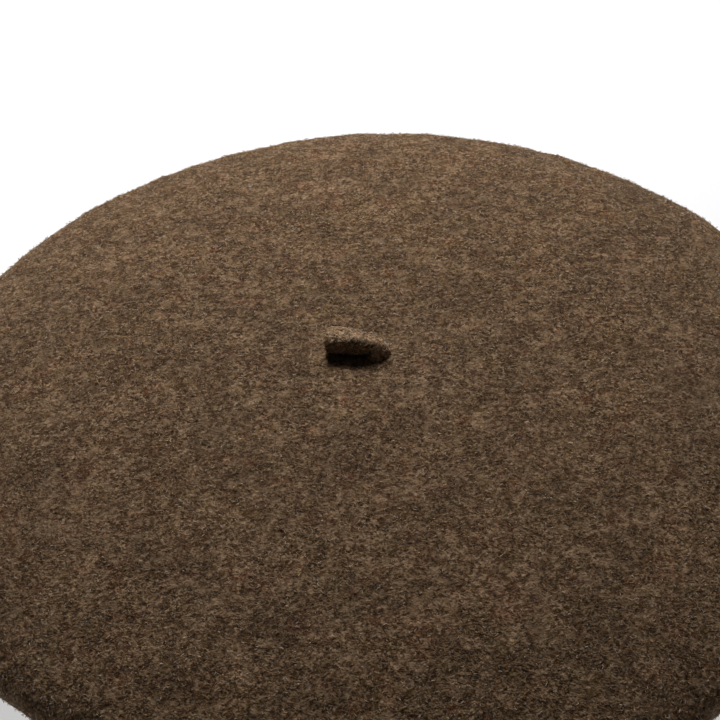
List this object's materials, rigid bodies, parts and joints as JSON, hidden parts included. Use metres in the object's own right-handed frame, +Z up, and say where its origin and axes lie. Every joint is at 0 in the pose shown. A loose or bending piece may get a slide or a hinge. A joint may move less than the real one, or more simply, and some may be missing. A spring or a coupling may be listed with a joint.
{
  "type": "beret",
  "caption": "Round wool felt beret with a flopped felt stalk, satin lining, leather sweatband and a small drawstring bow inside.",
  "frame": {"origin": "on the surface that the hat lies on, under the middle of its crown", "axes": "+Z up out of the crown, +Y to the back of the hat where the bow is, +X to the hat's right seen from above with the back away"},
  "size_m": [0.28, 0.28, 0.0416],
  "materials": {
    "felt": "brown heather fulled wool felt, matt, short fuzzy nap",
    "satin": "dark brown satin lining, soft sheen",
    "leather": "tan leather, fine grain, satin",
    "thread": "brown sewing thread, matt",
    "cord": "brown braided cotton cord, matt",
    "ribbon": "dark brown grosgrain ribbon, fine ribs",
    "label_tape": "blank cream woven tape"
  },
  "bodies": {
    "hat": {"felt_body": "felt", "stalk_tack": "thread", "crown_lining": "satin", "brim_lining": "satin", "lining_seam": "thread", "sweatband": "leather", "band_join": "leather", "band_stitching": "thread", "drawstring": "cord", "bow_knot": "ribbon", "bow_loop_left": "ribbon", "bow_loop_right": "ribbon"},
    "stalk": {"stalk": "felt"},
    "tail_left": {"bow_tail_left": "ribbon"},
    "tail_right": {"bow_tail_right": "ribbon"},
    "label": {"size_label": "label_tape"}
  },
  "joints": [
    {"name": "stalk_flop", "type": "hinge", "parent": "hat", "child": "stalk", "pos_m": [0.005, 0.0024, 0.0369], "axis": [0.1908, 0.9816, 0], "range_deg": [0, 172], "stiffness_Nm_per_rad": 0.003},
    {"name": "tail_left_swing", "type": "hinge", "parent": "hat", "child": "tail_left", "pos_m": [-0.0014, 0.0864, 0.0082], "axis": [0, 1, 0], "range_deg": [-26, 20], "stiffness_Nm_per_rad": 0.0001},
    {"name": "tail_right_swing", "type": "hinge", "parent": "hat", "child": "tail_right", "pos_m": [0.0014, 0.0871, 0.0082], "axis": [0, 1, 0], "range_deg": [-20, 26], "stiffness_Nm_per_rad": 0.0001},
    {"name": "label_flip", "type": "hinge", "parent": "hat", "child": "label", "pos_m": [-0.04152, 0.07809, 0.0166], "axis": [-0.8829, -0.4695, 0], "range_deg": [0, 100]}
  ]
}
